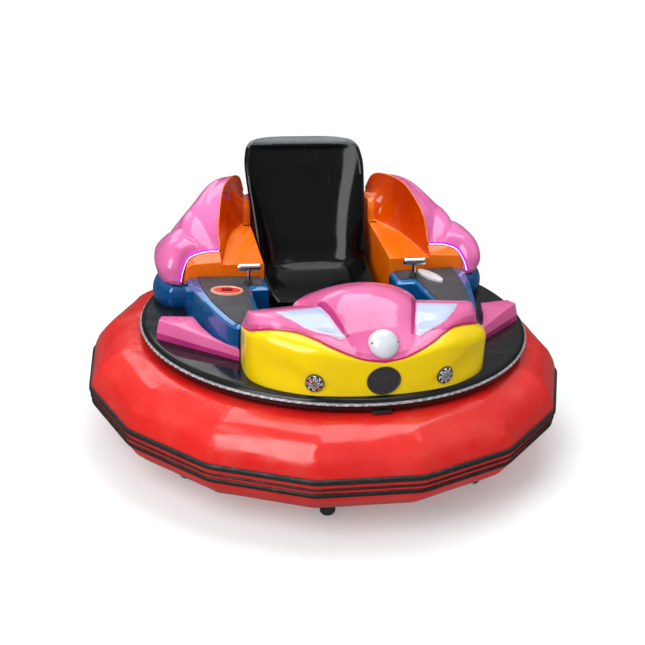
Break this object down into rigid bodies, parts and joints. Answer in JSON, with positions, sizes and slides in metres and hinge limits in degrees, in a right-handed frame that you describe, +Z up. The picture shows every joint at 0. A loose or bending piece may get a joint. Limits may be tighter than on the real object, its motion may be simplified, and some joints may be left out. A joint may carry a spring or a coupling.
{
  "type": "inflatable-ring bumper car",
  "caption": "Round bumper car with a bucket seat in a red inflatable ring, pink winged cockpit, yellow nose band and swivel casters underneath.",
  "frame": {"origin": "on the floor under the middle of the inflatable ring", "axes": "+Z up, the car faces -Y, +X is the rider's left as seen facing the nose, the right side of a front view"},
  "size_m": [1.699, 1.699, 0.9321],
  "materials": {
    "red_pvc": "glossy",
    "black_rubber": "matt",
    "black_gloss": "glossy",
    "clear_light": "satin",
    "steel": "satin",
    "dark_block": "matt",
    "pink": "glossy",
    "yellow": "glossy",
    "white": "glossy",
    "blue": "metallic gloss",
    "console_grey": "textured",
    "orange": "glossy",
    "chrome": "polished",
    "seat_black": "glossy"
  },
  "bodies": {
    "car": {"battery": "dark_block", "chassis": "steel", "console_left": "console_grey", "console_right": "console_grey", "deck": "black_gloss", "display": "chrome", "dome_lamp": "white", "drive_motor_left": "dark_block", "drive_motor_right": "dark_block", "fin_left": "pink", "fin_right": "pink", "handle_left": "chrome", "handle_right": "chrome", "hood": "pink", "nose_cap_left": "white", "nose_cap_right": "white", "nose_disc": "console_grey", "nose_fascia": "yellow", "rear_base": "blue", "rear_cowl": "pink", "rim_light": "clear_light", "ring_strake_lower": "black_rubber", "ring_strake_middle": "black_rubber", "ring_strake_upper": "black_rubber", "ring_tube": "red_pvc", "seat": "seat_black", "seat_box": "dark_block", "side_knob": "chrome", "side_pod_left": "blue", "side_pod_right": "blue", "tub": "dark_block", "wing_inner_left": "orange", "wing_inner_right": "orange", "wing_left": "pink", "wing_right": "pink"},
    "caster_1": {"caster_fork_1": "steel"},
    "caster_2": {"caster_fork_2": "steel"},
    "caster_3": {"caster_fork_3": "steel"},
    "caster_4": {"caster_fork_4": "steel"},
    "caster_5": {"caster_fork_5": "steel"},
    "caster_6": {"caster_fork_6": "steel"},
    "caster_7": {"caster_fork_7": "steel"},
    "caster_8": {"caster_fork_8": "steel"},
    "caster_wheel_1": {"caster_wheel_1": "black_rubber"},
    "caster_wheel_2": {"caster_wheel_2": "black_rubber"},
    "caster_wheel_3": {"caster_wheel_3": "black_rubber"},
    "caster_wheel_4": {"caster_wheel_4": "black_rubber"},
    "caster_wheel_5": {"caster_wheel_5": "black_rubber"},
    "caster_wheel_6": {"caster_wheel_6": "black_rubber"},
    "caster_wheel_7": {"caster_wheel_7": "black_rubber"},
    "caster_wheel_8": {"caster_wheel_8": "black_rubber"},
    "drive_wheel_left": {"drive_wheel_left": "black_rubber"},
    "drive_wheel_right": {"drive_wheel_right": "black_rubber"}
  },
  "joints": [
    {"name": "caster_1_swivel", "type": "hinge", "parent": "car", "child": "caster_1", "pos_m": [-0.10402, -0.65174, 0.06], "axis": [0, 0, 1], "continuous": true},
    {"name": "caster_1_roll", "type": "hinge", "parent": "caster_1", "child": "caster_wheel_1", "pos_m": [-0.1256, -0.64745, 0.025], "axis": [-0.1951, -0.9808, 0], "continuous": true},
    {"name": "caster_2_swivel", "type": "hinge", "parent": "car", "child": "caster_2", "pos_m": [0.39127, -0.55322, 0.06], "axis": [0, 0, 1], "continuous": true},
    {"name": "caster_2_roll", "type": "hinge", "parent": "caster_2", "child": "caster_wheel_2", "pos_m": [0.40957, -0.541, 0.025], "axis": [-0.5556, 0.8315, 0], "continuous": true},
    {"name": "caster_3_swivel", "type": "hinge", "parent": "car", "child": "caster_3", "pos_m": [0.67184, -0.13332, 0.06], "axis": [0, 0, 1], "continuous": true},
    {"name": "caster_3_roll", "type": "hinge", "parent": "caster_3", "child": "caster_wheel_3", "pos_m": [0.68634, -0.11678, 0.025], "axis": [-0.7518, 0.6593, 0], "continuous": true},
    {"name": "caster_4_swivel", "type": "hinge", "parent": "car", "child": "caster_4", "pos_m": [0.57332, 0.36197, 0.06], "axis": [0, 0, 1], "continuous": true},
    {"name": "caster_4_roll", "type": "hinge", "parent": "caster_4", "child": "caster_wheel_4", "pos_m": [0.58986, 0.34747, 0.025], "axis": [0.6593, 0.7518, 0], "continuous": true},
    {"name": "caster_5_swivel", "type": "hinge", "parent": "car", "child": "caster_5", "pos_m": [0.15342, 0.64254, 0.06], "axis": [0, 0, 1], "continuous": true},
    {"name": "caster_5_roll", "type": "hinge", "parent": "caster_5", "child": "caster_wheel_5", "pos_m": [0.13185, 0.64683, 0.025], "axis": [-0.1951, -0.9808, 0], "continuous": true},
    {"name": "caster_6_swivel", "type": "hinge", "parent": "car", "child": "caster_6", "pos_m": [-0.34187, 0.54402, 0.06], "axis": [0, 0, 1], "continuous": true},
    {"name": "caster_6_roll", "type": "hinge", "parent": "caster_6", "child": "caster_wheel_6", "pos_m": [-0.32358, 0.55624, 0.025], "axis": [-0.5556, 0.8315, 0], "continuous": true},
    {"name": "caster_7_swivel", "type": "hinge", "parent": "car", "child": "caster_7", "pos_m": [-0.62244, 0.12412, 0.06], "axis": [0, 0, 1], "continuous": true},
    {"name": "caster_7_roll", "type": "hinge", "parent": "caster_7", "child": "caster_wheel_7", "pos_m": [-0.63217, 0.10439, 0.025], "axis": [0.8969, -0.4423, 0], "continuous": true},
    {"name": "caster_8_swivel", "type": "hinge", "parent": "car", "child": "caster_8", "pos_m": [-0.52392, -0.37117, 0.06], "axis": [0, 0, 1], "continuous": true},
    {"name": "caster_8_roll", "type": "hinge", "parent": "caster_8", "child": "caster_wheel_8", "pos_m": [-0.54365, -0.36144, 0.025], "axis": [-0.4423, -0.8969, 0], "continuous": true},
    {"name": "drive_wheel_left_roll", "type": "hinge", "parent": "car", "child": "drive_wheel_left", "pos_m": [-0.3053, 0.0954, 0.09], "axis": [1, 0, 0], "continuous": true},
    {"name": "drive_wheel_right_roll", "type": "hinge", "parent": "car", "child": "drive_wheel_right", "pos_m": [0.3547, 0.0954, 0.09], "axis": [1, 0, 0], "continuous": true}
  ]
}
